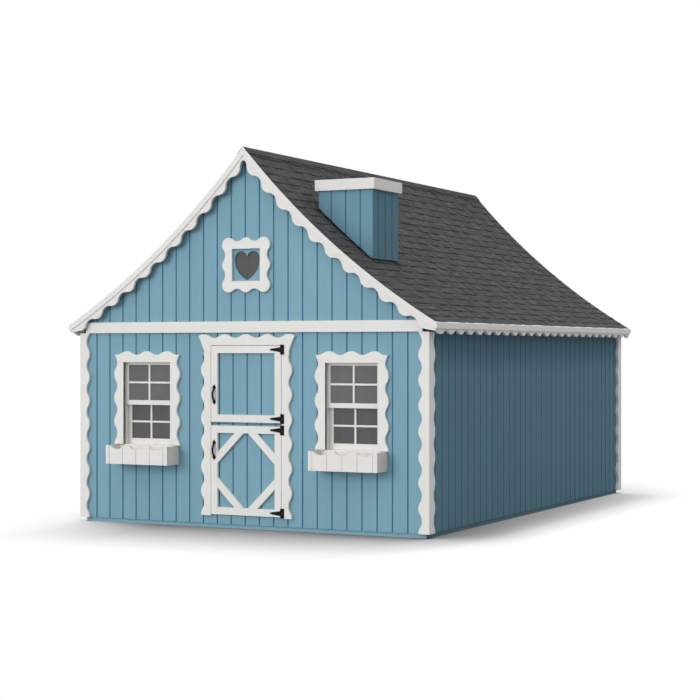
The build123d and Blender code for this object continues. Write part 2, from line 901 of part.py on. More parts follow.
def make_handle(leaf):
    """A bowed pull with a pointed foot at each end."""
    z = handle_heights[leaf]
    foot_half = 14.0
    foot_middle = 45.0
    tip = 65.0
    root = 29.0
    bow = 21.0
    bar = 6.6
    bar_end = 41.0          # where the bar meets its feet, from the middle
    face = -trim_face
    with BuildPart() as handle:
        with BuildSketch(front_plane(board)):
            for up in (-1, 1):
                with BuildLine():
                    Polyline((handle_x, z + up * root), (handle_x + foot_half, z + up * foot_middle),
                             (handle_x, z + up * tip), (handle_x - foot_half, z + up * foot_middle),
                             close=True)
                make_face()
            with Locations(*strap_screws(leaf)[-2:]):
                Circle(screw_radius + screw_clearance, mode=Mode.SUBTRACT)
        extrude(amount=hinge_leaf)
        lift = face - hinge_leaf / 2
        with BuildLine() as path:
            Spline((handle_x, lift, z - bar_end), (handle_x, face - bow, z),
                   (handle_x, lift, z + bar_end), tangents=((0, -1.3, 1), (0, 1.3, 1)))
        start = Plane(origin=path.wire() @ 0, z_dir=path.wire() % 0)
        with BuildSketch(start):
            Circle(bar)
        sweep(path=path.wire())
        behind = (handle_x + foot_half, face + board, z + tip)
        block((handle_x - foot_half, face, z - tip), behind, Mode.SUBTRACT)
    return handle


# ---- windows -----------------------------------------------------------------------------
upper_sash_depth = 15.0     # outer face of the fixed sash, behind the siding face
lower_sash_depth = 38.0
sash = 18.0
upper_stile = 19.0
lower_stile = 28.5
meeting_foot = 767.0
meeting_top = 797.0
muntin = 12.0
upper_rails = (30.0, 16.0)  # lower and upper rail of the fixed sash
lower_rails = (37.0, 30.0)
glass = 3.0
sash_play = 0.6


def make_window_frames():
    outer_half = window_width / 2 + jamb
    inner_half = window_width / 2
    depth = 62.0
    stop = 5.0
    lip = 8.0
    with BuildPart() as frames:
        with BuildSketch(front_plane(-0.2)):
            rectangle(window_x - outer_half, window_x + outer_half, window_foot - jamb, window_top + jamb)
            rectangle(window_x - inner_half, window_x + inner_half, window_foot, window_top,
                      mode=Mode.SUBTRACT)
        extrude(amount=-depth)
        with BuildSketch(front_plane(-0.2 - depth + stop)):
            rectangle(window_x - inner_half, window_x + inner_half, window_foot, window_top)
            rectangle(window_x - inner_half + lip, window_x + inner_half - lip, window_foot + lip,
                      window_top - lip, mode=Mode.SUBTRACT)
        extrude(amount=-stop)
        mirror(about=Plane.YZ)
    return frames


def sash_light(centre, half, z0, z1, side_width, foot, head):
    """Outline of a sash with four lights."""
    rectangle(centre - half, centre + half, z0, z1)
    inner = half - side_width
    middle = (z0 + foot + z1 - head) / 2
    for x0, x1 in ((centre - inner, centre - muntin / 2), (centre + muntin / 2, centre + inner)):
        rectangle(x0, x1, z0 + foot, middle - muntin / 2, mode=Mode.SUBTRACT)
        rectangle(x0, x1, middle + muntin / 2, z1 - head, mode=Mode.SUBTRACT)


def pane_corners(depth, centre, half, z0, z1, side_width, foot, head):
    """Corners of the pane that sits in the middle of a sash."""
    bite = 5.0
    y = -front_face + depth + sash / 2
    low = (centre - half + side_width - bite, y - glass / 2, z0 + foot - bite)
    high = (centre + half - side_width + bite, y + glass / 2, z1 - head + bite)
    return low, high


def upper_sash_sizes(centre):
    half = window_width / 2 - 0.2
    return centre, half, meeting_foot, window_top - 0.2, upper_stile, *upper_rails


def lower_sash_sizes(centre):
    half = window_width / 2 - sash_play
    return centre, half, window_foot + sash_play, meeting_top, lower_stile, *lower_rails


def make_sashes(depth, all_sizes):
    """A frame with glazing bars for each set of sizes, slotted for its pane."""
    slack = 0.1
    with BuildPart() as frames:
        with BuildSketch(front_plane(-depth)):
            for sizes in all_sizes:
                sash_light(*sizes)
        extrude(amount=-sash)
        for sizes in all_sizes:
            low, high = pane_corners(depth, *sizes)
            block([a - slack for a in low], [b + slack for b in high], Mode.SUBTRACT)
    return frames


def make_panes(depth, all_sizes):
    with BuildPart() as panes:
        for sizes in all_sizes:
            block(*pane_corners(depth, *sizes))
    return panes


def make_window_casings():
    """Scalloped boards around each window."""
    half = window_width / 2
    side_top = window_top - seam
    lobe_z = 507.0          # lowest lobe of the side boards
    crest = 1101.5          # middle line of the header's scallops
    shoulder = 1.5 * scallop_pitch
    tip = 244.0
    with BuildPart() as casings:
        with BuildSketch(Plane(origin=(window_x, -front_face, 0), x_dir=(1, 0, 0), z_dir=(0, -1, 0))):
            scalloped_post(half, 1, window_foot, side_top, lobe_z)
            mirror(about=Plane.YZ)
            header_outline(half, window_top, window_top, crest, shoulder, tip)
        extrude(amount=board)
        mirror(about=Plane.YZ)
    return casings


def scooped_front(centre, half, foot, top):
    """Outline of a box front whose top edge has three scoops."""
    spacing = 150.0
    width = 106.0
    drop = 24.5
    radius = (width**2 / 4 + drop**2) / (2 * drop)
    with BuildSketch(Plane.XZ.offset(front_face)) as face:
        rectangle(centre - half, centre + half, foot, top)
        with Locations(*[(centre + k * spacing, top - drop + radius) for k in (-1, 0, 1)]):
            Circle(radius, mode=Mode.SUBTRACT)
        upper = face.vertices().filter_by(lambda v: v.Z > top - 1 and abs(v.X - centre) < half - 1)
        fillet(upper, radius=14)
    return face.sketch


def make_flower_box(side):
    """A box of five boards: a grooved front with a scooped top edge, two ends, back and bottom."""
    centre = side * window_x
    half = 232.0
    depth = 139.7
    foot = 391.0
    top = 510.0
    lower = 3.0             # how far the other boards stay below the front's top edge
    bead = 8.0              # width of the grooves
    bead_depth = 3.5
    outer = -front_face - depth
    inner = outer + board + seam
    wall = -front_face - 0.3
    with BuildPart() as box:
        outline = scooped_front(centre, half, foot, top)
        extrude(outline, amount=depth)
        block((centre - half, outer + board, foot), (centre + half, -front_face, top), Mode.SUBTRACT)
        spots = groove_places(centre - half, centre + half, centre)
        with Locations(*[(x, outer, (foot + top) / 2) for x in spots]):
            Box(bead, 2 * bead_depth, top - foot + 2, mode=Mode.SUBTRACT)
        for way in (-1, 1):
            low, high = sorted((way * half, way * (half - board)))
            block((centre + low, inner, foot), (centre + high, wall, top - lower))
        reach = half - board - seam
        block((centre - reach, inner, foot), (centre + reach, wall, foot + siding))
        back = wall - siding
        block((centre - reach, back, foot + siding + seam), (centre + reach, wall, top - lower))
    return box


# ---- heart window ------------------------------------------------------------------------
def heart_plane():
    return Plane(origin=(0, -front_face, heart_z), x_dir=(1, 0, 0), z_dir=(0, -1, 0))


def make_heart_frame():
    """A square frame whose outline is a ring of round lobes with round hollows between them."""
    lobe = 46.0
    spread = 125.0          # between the middles of the lobes
    trough = 24.0           # a hollow's deepest point, outside the line through the lobes' middles
    opening = 101.0
    hollow = (spread**2 / 4 + trough**2 - lobe**2) / (2 * (lobe - trough))
    away = spread + trough + hollow
    reach = spread + (trough + hollow) * lobe / (lobe + hollow)
    hollows = [(way * spread / 2, up * away) for way in (-1, 1) for up in (-1, 1)]
    with BuildPart() as frame:
        with BuildSketch(heart_plane()):
            Rectangle(2 * reach, 2 * spread)
            Rectangle(2 * spread, 2 * reach)
            with GridLocations(spread, spread, 3, 3):
                Circle(lobe)
            with Locations(*hollows, *[(z, x) for x, z in hollows]):
                Circle(hollow, mode=Mode.SUBTRACT)
            Rectangle(2 * opening, 2 * opening, mode=Mode.SUBTRACT)
        extrude(amount=board)
    return frame


def make_heart_panel():
    """The flat board behind the frame, with the heart cut through it."""
    half = heart_hole - 0.5
    lobe_x = 45.0
    lobe_z = 42.0
    lobe = 44.0
    notch = (0.0, 54.0)
    flank = ((80.0, -16.0), (59.0, -50.0))
    tip = (0.0, -97.0)
    with BuildPart() as panel:
        with BuildSketch(heart_plane()):
            Rectangle(2 * half, 2 * half)
            for way in (-1, 1):
                shoulder = (way * (lobe_x + lobe), lobe_z)
                sides = [(way * x, z) for x, z in flank]
                with BuildLine():
                    ThreePointArc(notch, (way * lobe_x, lobe_z + lobe), shoulder)
                    Spline(shoulder, *sides, tip, tangents=((0, -1), (-way, -0.62)))
                    Line(tip, notch)
                make_face(mode=Mode.SUBTRACT)
        extrude(amount=-siding)
    return panel


def make_heart_pane():
    half = 118.0
    with BuildPart() as pane:
        low = (-half, -half_length + 0.1, heart_z - half)
        block(low, (half, -half_length + glass + 0.1, heart_z + half))
        fillet(pane.edges().filter_by(Axis.Y), radius=4)
    return pane


# ---- chimney -----------------------------------------------------------------------------
chimney_x = 551.0
chimney_y = -1381.5
chimney_half = 188.0
cap_foot = 2120.0
cap_top = 2189.0
lid = 9.3
chimney_gap = 6.0           # the siding stops this far above the shingles
chimney_foot = 1500.0       # before it is cut to the roof
chimney_grooves = ((-99.9, 1.7, 103.3), (-109.0, -7.4, 94.2))      # across the front, across the sides


def over_roof(radius, top):
    """Region of the XZ plane above a roof curve and below a level line."""
    x0, x1 = chimney_x - 1.2 * chimney_half, chimney_x + 1.2 * chimney_half
    with BuildLine() as outline:
        arc_across(x0, x1, radius)
        Polyline((x1, arc_height(x1, radius)), (x1, top), (x0, top), (x0, arc_height(x0, radius)))
    make_face(outline.edges())


def trim_to_roof(radius, top):
    """Keeps only what stands above the roof curve."""
    reach = 1.2 * chimney_half
    with BuildSketch(Plane.XZ.offset(-chimney_y + reach)) as profile:
        over_roof(radius, top)
    extrude(profile.sketch, amount=-2 * reach, mode=Mode.INTERSECT)


def make_chimney_walls():
    top = cap_top - lid - 0.3
    foot = chimney_foot
    low_x, high_x = chimney_x - chimney_half, chimney_x + chimney_half
    low_y, high_y = chimney_y - chimney_half, chimney_y + chimney_half
    middle = (foot + top) / 2
    with BuildPart() as walls:
        block((low_x, low_y, foot), (high_x, low_y + siding, top))
        block((low_x, high_y - siding, foot), (high_x, high_y, top))
        for x0, x1 in ((low_x, low_x + siding), (high_x - siding, high_x)):
            block((x0, low_y + siding + seam, foot), (x1, high_y - siding - seam, top))
        for x in chimney_grooves[0]:
            with Locations((chimney_x + x, low_y, middle), (chimney_x + x, high_y, middle)):
                Box(groove_width, 2 * groove_depth, top - foot + 2, mode=Mode.SUBTRACT)
        for y in chimney_grooves[1]:
            with Locations((low_x, chimney_y + y, middle), (high_x, chimney_y + y, middle)):
                Box(2 * groove_depth, groove_width, top - foot + 2, mode=Mode.SUBTRACT)
        trim_to_roof(roof_radius - chimney_gap, top)
    return walls


def make_chimney_posts():
    """Corner posts inside the chimney, which stand on the shingles."""
    top = cap_top - lid - 0.6
    reach = chimney_half - siding - seam - stud / 2
    with BuildPart() as posts:
        with Locations((chimney_x, chimney_y, (chimney_foot + cap_top) / 2)):
            with GridLocations(2 * reach, 2 * reach, 2, 2):
                Box(stud, stud, cap_top - chimney_foot)
        trim_to_roof(roof_radius - 0.1, top)
    return posts


def make_chimney_cap():
    """Four boards around the top of the chimney, and the lid inside them."""
    inner = chimney_half + 0.2
    outer = inner + board
    low_x, high_x = chimney_x - outer, chimney_x + outer
    with BuildPart() as cap:
        for way in (-1, 1):
            low, high = sorted((way * inner, way * outer))
            block((low_x, chimney_y + low, cap_foot), (high_x, chimney_y + high, cap_top))
            reach = inner - 0.2
            block((chimney_x + low, chimney_y - reach, cap_foot),
                  (chimney_x + high, chimney_y + reach, cap_top))
        lid_half = chimney_half - 0.2
        block((chimney_x - lid_half, chimney_y - lid_half, cap_top - lid),
              (chimney_x + lid_half, chimney_y + lid_half, cap_top))
    return cap


# ---- all the pieces ----------------------------------------------------------------------
def build_all():
    save(make_floor_joists(), "floor_joists")
    save(make_floor_deck(), "floor_deck")

    save(make_wall_plates(), "wall_plates")
    save(make_side_studs(), "side_wall_studs")
    save(make_end_studs(), "end_wall_studs")
    save(make_opening_headers(), "opening_headers")
    save(make_gable_framing(), "gable_framing")

    save(make_front_siding(-1), "front_siding_left")
    save(make_front_siding(1), "front_siding_right")
    save(make_front_siding_infill(), "front_siding_infill")
    save(make_front_gable_siding(), "front_gable_siding")
    save(make_back_siding(), "back_siding")
    save(make_back_gable_siding(), "back_gable_siding")
    save(make_side_siding(), "side_siding")

    save(make_corner_boards(), "corner_boards")
    save(make_frieze_boards(), "frieze_boards")

    save(make_rafters(), "rafters")
    save(make_ridge_board(), "ridge_board")
    save(make_collar_ties(), "collar_ties")
    save(make_roof_deck(), "roof_deck")
    save(make_shingles(), "roof_shingles")
    save(make_ridge_cap(), "ridge_cap")
    save(make_fascia_backers(), "fascia_backers")
    save(make_soffits(), "eave_soffits")
    save(make_eave_trim(), "eave_trim")
    save(make_eave_strips(), "eave_strips")
    save(make_rake_trim(), "rake_trim")
    save(make_rake_strips(), "rake_strips")

    save(make_door_jambs(), "door_jambs")
    save(make_door_casing(), "door_casing")
    save(make_leaf_panel(leaf_split + 1.5, door_top), "upper_leaf_panel")
    save(make_upper_leaf_trim(), "upper_leaf_trim")
    save(make_leaf_panel(door_foot, leaf_split - 1.5), "lower_leaf_panel")
    save(make_lower_leaf_trim(), "lower_leaf_trim")
    save(make_hinge_plates(), "hinge_plates")
    save(make_hinge_pins(), "hinge_pins")
    save(make_hinge_straps(0), "lower_hinge_straps")
    save(make_hinge_straps(1), "upper_hinge_straps")
    save(make_screws(plate_screws(), hinge_leaf), "hinge_plate_screws")
    save(make_screws(strap_screws(0), hinge_leaf), "lower_leaf_screws")
    save(make_screws(strap_screws(1), hinge_leaf), "upper_leaf_screws")
    save(make_handle(0), "lower_handle")
    save(make_handle(1), "upper_handle")

    save(make_window_frames(), "window_frames")
    uppers = [upper_sash_sizes(side * window_x) for side in (-1, 1)]
    save(make_sashes(upper_sash_depth, uppers), "upper_sashes")
    save(make_panes(upper_sash_depth, uppers), "upper_panes")
    for side, name in ((-1, "left"), (1, "right")):
        lower = [lower_sash_sizes(side * window_x)]
        save(make_sashes(lower_sash_depth, lower), f"{name}_lower_sash")
        save(make_panes(lower_sash_depth, lower), f"{name}_lower_pane")
        save(make_flower_box(side), f"{name}_flower_box")
    save(make_window_casings(), "window_casings")

    save(make_heart_frame(), "heart_frame")
    save(make_heart_panel(), "heart_panel")
    save(make_heart_pane(), "heart_pane")

    save(make_chimney_walls(), "chimney_walls")
    save(make_chimney_posts(), "chimney_posts")
    save(make_chimney_cap(), "chimney_cap")


os.makedirs("parts", exist_ok=True)
build_all()
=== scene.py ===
"""Looks of the painted wooden playhouse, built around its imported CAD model.

Metres, in the CAD's frame: X to the right, Y to the back, Z up, the ground at Z = 0. The CAD nodes
keep their shapes and get node-based materials; the roof covering is built here, course by course."""

import math
import random

import bpy
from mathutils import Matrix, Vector


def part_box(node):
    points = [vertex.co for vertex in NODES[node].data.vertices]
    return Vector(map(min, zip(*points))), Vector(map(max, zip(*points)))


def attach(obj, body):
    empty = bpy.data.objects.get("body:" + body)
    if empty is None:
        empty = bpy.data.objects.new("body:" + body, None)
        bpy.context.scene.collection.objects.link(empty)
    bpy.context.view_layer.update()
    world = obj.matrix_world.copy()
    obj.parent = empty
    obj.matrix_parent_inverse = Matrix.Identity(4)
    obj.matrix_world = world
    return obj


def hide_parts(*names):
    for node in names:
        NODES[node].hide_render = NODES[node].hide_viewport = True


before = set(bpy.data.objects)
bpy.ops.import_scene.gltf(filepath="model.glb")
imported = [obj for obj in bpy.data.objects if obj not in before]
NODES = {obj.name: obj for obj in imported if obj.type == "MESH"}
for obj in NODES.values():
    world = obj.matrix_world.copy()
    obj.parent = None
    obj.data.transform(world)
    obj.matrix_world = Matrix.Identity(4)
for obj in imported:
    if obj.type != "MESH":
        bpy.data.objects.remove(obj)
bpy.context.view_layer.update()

floor_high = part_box("floor_joists")[1]
roof_low, roof_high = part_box("roof_shingles")
sash_low, sash_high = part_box("right_lower_sash")

# ---- the roof's shape ------------------------------------------------------------------------
ARC_X = 3.945               # centre of the roof's hollow curve as in the CAD, each side of the ridge
ARC_Z = 5.750
DECK_RADIUS = 5.1865        # top of the roof boards
EAVE_ANGLE = math.asin((ARC_X - roof_high.x) / DECK_RADIUS)
RIDGE_ANGLE = math.asin(ARC_X / DECK_RADIUS)
SLOPE = (RIDGE_ANGLE - EAVE_ANGLE) * DECK_RADIUS

# ---- shingle courses -------------------------------------------------------------------------
COURSES = 23
PITCH = SLOPE / COURSES
TOP_GAP = 0.002             # the last course stops this far below the ridge
BASE_BUTT = 0.0030          # height of a course over the boards at its lower edge
BASE_TOP = 0.0010           # and where the next course covers it
COURSE_TONES = (0.86, 1.08)
COURSE_BUTT_SHADE = 0.80     # painted shade on a course's lower edge, against its face

# ---- laminated tabs --------------------------------------------------------------------------
TAB_THICK = 0.0028          # over its course, at the tab's lower edge
TAB_THIN = 0.0006           # and at its upper edge
TAB_SINK = 0.0004           # underside of a tab, over the boards
TAB_WIDTH = (0.070, 0.150)
TAB_GAP = (0.060, 0.160)
TAB_SHARE = 0.75            # widest part of its shingle that a tab covers
TAB_INSET = 0.004           # least distance from the shingle's ends
TAB_FLARE = 0.010           # how far a tab's sides lean in
TAB_LEANS = (0.3, 1.0)
TAB_LAP = 0.0015            # how far it hangs over the course below
TAB_TONES = (0.84, 1.28)
# painted shade on a tab's lower edge
TAB_BUTT_SHADE = 0.35
LIP = 0.0085                # dark strip along a tab's lower edge: painted shadow cast on the course below
LIP_INSET = 0.003
LIP_HEIGHTS = (0.0028, 0.0046)
LIP_SHADOW_TONES = (0.30, 0.22)    # painted shadow on its face and lower edge

# ---- ridge cap -------------------------------------------------------------------------------
CAP_REACH = 0.058           # from the ridge down each slope
CAP_PITCH = 0.145
CAP_LAP = 1.12              # length of a tab, in pitches
CAP_THICK = 0.0014
CAP_LIFT = 0.0010           # rise of a tab's front end over the one before
CAP_REST = BASE_BUTT + TAB_THICK
CAP_STEPS = 6               # faces across each slope
CAP_SAG = 0.0012            # the ridge is rounded off by this much
CAP_SAG_REACH = 0.010
CAP_TONES = (0.85, 1.20)

# ---- colours, as linear red, green and blue --------------------------------------------------
BLUE_FRONT = (0.199, 0.366, 0.455)
# a darker copy of the wall paint: painted shade on the side walls and the chimney's sides
BLUE_SIDE_SHADED = (0.086, 0.197, 0.258)
# a lighter copy for the chimney's front: painted light, against its shaded sides
BLUE_CHIMNEY_FRONT_LIT = (0.150, 0.300, 0.390)
WORN_SIDING = 1.5           # brightness of rubbed edges
BASE_FRONT_SHADE = 1.1      # brightness of the floor's edge against the wall above it: lighter on the front, as painted light
# darker on the sides, as painted shade
BASE_SIDE_SHADE = 0.9
WHITE = (0.765, 0.757, 0.735)
WORN_WHITE = (0.50, 0.46, 0.38)
WINDOW_WHITE = (0.760, 0.757, 0.740)
BOX_END_LIGHT_TINT = (1.02, 0.91, 0.83)       # painted correction on the flower boxes' ends: takes out the blue light that the walls throw on them
# painted shadow in the deep side reveals of the windows
REVEAL_SHADOW = (0.115, 0.155, 0.133)
TRACK = (0.850, 0.810, 0.740)
PINE_LIGHT = (0.560, 0.380, 0.210)
PINE_DARK = (0.390, 0.225, 0.105)
PLY_LIGHT = (0.520, 0.370, 0.220)
PLY_DARK = (0.420, 0.275, 0.150)
PINE_RINGS = 26.0           # growth rings to the metre
PLY_RINGS = 9.0
IRON = (0.006, 0.006, 0.006)
DUSTY_IRON = (0.014, 0.0135, 0.013)
# edges lighter in patches: rubbed wear and painted highlight
IRON_RUB_AND_HIGHLIGHT = (0.06, 0.06, 0.063)
SHINGLE = (0.056, 0.057, 0.0625)
SHINGLE_WARM = (0.061, 0.057, 0.058)
# grey of the glass: a painted reflection of the studio, partly glowing
GLASS = (0.096, 0.095, 0.097)
GLASS_LOW = (0.070, 0.070, 0.071)       # darker grey, as painted shade, for panes that sit deeper in the wall
GLASS_GLOW = 0.6            # share of the glass's grey that no light or shade changes
GLASS_BODY = 0.90           # share of what a pane shows that is its painted grey reflection
GLASS_CLEAR = (0.55, 0.56, 0.57)        # tint of what is seen through it

# ---- where the paint is shaded ---------------------------------------------------------------
SKIN = 0.0006               # slack where a plane tells a face from what lies behind it
FLAT = 0.7                  # least part of a face's normal along the axis that it faces
FLATTER = 0.9
NOISE_RANGE = (0.3, 0.7)    # most of a noise's values lie between these
EDGE_TURN = (0.97, 0.80)    # cosines of the turn, from flat to sharp
GROOVE_REACH = 0.0065       # a little more than the grooves' depth
GROOVE_TINT = (0.30, 0.58, 0.76)        # what the shade in a groove leaves of the paint
SIDE_GROOVE_TINT = (0.60, 0.76, 0.82)
NOTCH_LAP = 0.003           # the recess over a corner board starts this far under its top
# painted shadow in that recess: what is left of the paint
NOTCH_SHADE = 0.12
EAVE_SHADE_BAND = (0.965, 1.100)  # heights between which painted shade darkens the side walls, up towards the eaves
# what the painted shade under the eaves leaves of the paint
EAVE_SHADE_TINT = (0.68, 0.74, 0.79)
CHIMNEY_GAP = 0.022         # how far from the chimney's walls the painted contact shadow on the roof reaches
CHIMNEY_SHADE = 0.30
SASH_SLACK = 0.0016         # a little more than a sash's play in its opening
WINDOW_X = (sash_low.x + sash_high.x) / 2
OPENING_HALF = sash_high.x - WINDOW_X + SASH_SLACK
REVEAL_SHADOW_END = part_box("upper_sashes")[0].y - 0.008     # how far back the painted shadow in the reveals reaches
PAINT_ROUND = 0.0018        # rounding of painted edges
ROUND_ANGLE = 35.0          # degrees of turn from which an edge is rounded
WELD = 0.00002

# ---- the camera's place ----------------------------------------------------------------------
EYE = (5.3739, -11.1774, 1.1179)
EYE_TURN = 26.507           # degrees from square to the front wall
SENSOR = 36.0
LENS = 88.49
SHIFT_UP = 0.00064

# ---- the studio ------------------------------------------------------------------------------
SKY = (0.40, 1.34)          # strength of the dome at the horizon and overhead
KEY_FROM = (-0.36, -0.90, 0.22)
KEY_ENERGY = 1.50
KEY_WIDTH = 34.0            # degrees across
FLOOR_REACH = 60.0
FLOOR_DROP = 0.0005
FLOOR_GREY = (0.34, 0.34, 0.34)         # what the floor throws back at the house
SHADOW_REACH = (1.30, 0.60) # how far from the walls the floor darkens: before the house, beside it
REACH_BAND = (1.1, 1.6)     # distances from the middle between which one passes into the other
SHADOW_DEPTH = (1.95, 3.2)  # how strongly, before the house and on its lee side
LEE_BAND = (1.0, 1.7)
SHADOW_FADE = 0.40          # share of that left at the back
FADE_BAND = (-1.5, 2.2)
SHADOW_LEFT = 0.13          # and on the side that the key comes from
LEFT_BAND = (-1.40, -0.60)


# ---- node trees ------------------------------------------------------------------------------
class Tree:
    """One material's node tree, with short ways to add what the materials share."""

    def __init__(self, name, colour):
        self.material = bpy.data.materials.new(name)
        self.material.use_nodes = True
        self.material.diffuse_color = (*colour, 1.0)
        self.nodes = self.material.node_tree.nodes
        self.links = self.material.node_tree.links
        self.nodes.clear()
        self.shader = self.add("ShaderNodeBsdfPrincipled")
        self.shader.inputs["Base Color"].default_value = (*colour, 1.0)
        self.output = self.add("ShaderNodeOutputMaterial")
        self.feed(self.output.inputs["Surface"], self.shader.outputs[0])
        self.place = self.add("ShaderNodeTexCoord").outputs["Object"]

    def add(self, kind, **settings):
        node = self.nodes.new(kind)
        for key, value in settings.items():
            setattr(node, key, value)
        return node

    def feed(self, socket, value):
        """Links value to the socket if it is a socket, and otherwise sets it."""
        if isinstance(value, bpy.types.NodeSocket):
            self.links.new(value, socket)
        elif isinstance(value, tuple) and socket.type == "RGBA":
            socket.default_value = (*value[:3], 1.0)
        else:
            socket.default_value = value

    def setting(self, name, value):
        """Sets or links one of the shader's inputs."""
        self.feed(self.shader.inputs[name], value)

    def math(self, operation, a, b=0.0):
        node = self.add("ShaderNodeMath", operation=operation)
        self.feed(node.inputs[0], a)
        self.feed(node.inputs[1], b)
        return node.outputs[0]

    def sum(self, a, b):
        return self.math("ADD", a, b)

    def product(self, a, b):
        return self.math("MULTIPLY", a, b)

    def size(self, value):
        return self.math("ABSOLUTE", value)

    def above(self, value, limit):
        """1 where value is over the limit, and 0 elsewhere."""
        return self.math("GREATER_THAN", value, limit)

    def below(self, value, limit):
        """1 where value is under the limit, and 0 elsewhere."""
        return self.math("LESS_THAN", value, limit)

    def axes(self, vector):
        """The three numbers of a vector."""
        split = self.add("ShaderNodeSeparateXYZ")
        self.feed(split.inputs[0], vector)
        return split.outputs

    def facing(self, axis, least=FLAT):
        """1 on faces square to this axis."""
        normal = self.axes(self.add("ShaderNodeTexCoord").outputs["Normal"])
        return self.above(self.size(normal[axis]), least)

    def noise(self, scale, detail=3.0, roughness=0.5, distortion=0.0):
        """Noise from 0 to 1, with this many features to the metre along each axis."""
        scaled = self.add("ShaderNodeMapping")
        self.feed(scaled.inputs["Vector"], self.place)
        self.feed(scaled.inputs["Scale"], scale)
        node = self.add("ShaderNodeTexNoise")
        self.feed(node.inputs["Vector"], scaled.outputs[0])
        self.feed(node.inputs["Scale"], 1.0)
        self.feed(node.inputs["Detail"], detail)
        self.feed(node.inputs["Roughness"], roughness)
        self.feed(node.inputs["Distortion"], distortion)
        return node.outputs[0]

    def spread(self, value, low, high, new_low=0.0, new_high=1.0):
        """value, moved from the range low to high to a new range and held inside it."""
        node = self.add("ShaderNodeMapRange", clamp=True)
        for socket, number in zip(node.inputs, (value, low, high, new_low, new_high)):
            self.feed(socket, number)
        return node.outputs[0]

    def vary(self, noise, low, high):
        """A noise, made to run from low to high."""
        return self.spread(noise, *NOISE_RANGE, low, high)

    def mix(self, factor, a, b, blend="MIX"):
        node = self.add("ShaderNodeMix", data_type="RGBA", blend_type=blend)
        self.feed(node.inputs[0], factor)
        self.feed(node.inputs[6], a)
        self.feed(node.inputs[7], b)
        return node.outputs[2]

    def tint(self, factor, colour, tint):
        """colour, multiplied by tint where factor is 1."""
        return self.mix(factor, colour, tint, blend="MULTIPLY")

    def shade(self, colour, brightness):
        """colour times a number."""
        node = self.add("ShaderNodeVectorMath", operation="SCALE")
        self.feed(node.inputs[0], colour)
        self.feed(node.inputs["Scale"], brightness)
        return node.outputs[0]

    def bump(self, height, distance, strength):
        node = self.add("ShaderNodeBump")
        self.feed(node.inputs["Height"], height)
        self.feed(node.inputs["Distance"], distance)
        self.feed(node.inputs["Strength"], strength)
        return node.outputs[0]

    def edges(self, radius):
        """1 along sharp edges and 0 on flat faces."""
        bevel = self.add("ShaderNodeBevel", samples=4)
        self.feed(bevel.inputs["Radius"], radius)
        dot = self.add("ShaderNodeVectorMath", operation="DOT_PRODUCT")
        self.feed(dot.inputs[0], bevel.outputs[0])
        self.feed(dot.inputs[1], self.add("ShaderNodeNewGeometry").outputs["Normal"])
        return self.spread(dot.outputs["Value"], *EDGE_TURN)

    def blend(self, factor, first, second):
        """Shows one shader where factor is 0 and the other where it is 1."""
        node = self.add("ShaderNodeMixShader")
        for socket, value in zip(node.inputs, (factor, first, second)):
            self.feed(socket, value)
        self.feed(self.output.inputs["Surface"], node.outputs[0])

    def finish(self, colour, roughness, normal=None):
        self.setting("Base Color", colour)
        self.setting("Roughness", roughness)
        if normal is not None:
            self.setting("Normal", normal)
        return self.material


def along(axis, fine, coarse):
    """Noise scale with few features along the grain's axis and many across it."""
    return tuple(coarse if name == axis else fine for name in "xyz")


def times(colour, factor):
    return tuple(channel * factor for channel in colour)


# ---- masks: 1 on one part of a node, told by its place, and 0 elsewhere -----------------------
def reveal_shadow_mask(tree, end):
    """The side reveals of both windows, from the front back to end, where shadow is painted."""
    place = tree.axes(tree.place)
    across = tree.math("SUBTRACT", tree.size(place[0]), WINDOW_X)
    inside = tree.below(tree.size(across), OPENING_HALF)
    return tree.product(tree.product(tree.facing(0, FLATTER), inside), tree.below(place[1], end))


def indoors_mask(tree):
    """What faces the room or hides in the walls."""
    place = tree.axes(tree.place)
    past_x = tree.above(tree.size(place[0]), floor_high.x + SKIN)
    past_y = tree.above(tree.size(place[1]), floor_high.y + SKIN)
    return tree.math("SUBTRACT", 1.0, tree.math("MAXIMUM", past_x, past_y))


def groove_mask(tree, faces):
    """The grooves of siding sheets.

    faces holds an axis and the places on it of its two outer faces, for each way the sheets face."""
    place = tree.axes(tree.place)
    mask = 1.0
    for axis, low, high in faces:
        behind_low = tree.above(place[axis], low + SKIN)
        behind_high = tree.below(place[axis], high - SKIN)
        mask = tree.product(mask, tree.product(behind_low, behind_high))
    return mask


def outer_faces(axes, *names):
    """The outermost planes of these nodes along each axis."""
    boxes = [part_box(name) for name in names]
    return [(axis, min(low[axis] for low, _ in boxes), max(high[axis] for _, high in boxes))
            for axis in axes]


def notch_shadow_mask(tree):
    """The siding over the corner boards, where it lies in a deep recess and gets painted shadow."""
    place = tree.axes(tree.place)
    outside = tree.above(tree.size(place[0]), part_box("frieze_boards")[1].x)
    return tree.product(outside, tree.above(place[2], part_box("corner_boards")[1].z - NOTCH_LAP))


def chimney_shadow_mask(tree):
    """Painted contact shadow on the roof against the chimney's walls, fading further out."""
    low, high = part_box("chimney_walls")
    place = tree.axes(tree.place)
    outside = []
    for axis in (0, 1):
        middle, half = (low[axis] + high[axis]) / 2, (high[axis] - low[axis]) / 2
        offset = tree.math("SUBTRACT", place[axis], middle)
        outside.append(tree.math("SUBTRACT", tree.size(offset), half))
    return tree.spread(tree.math("MAXIMUM", *outside), 0.0, CHIMNEY_GAP, 1.0, 0.0)


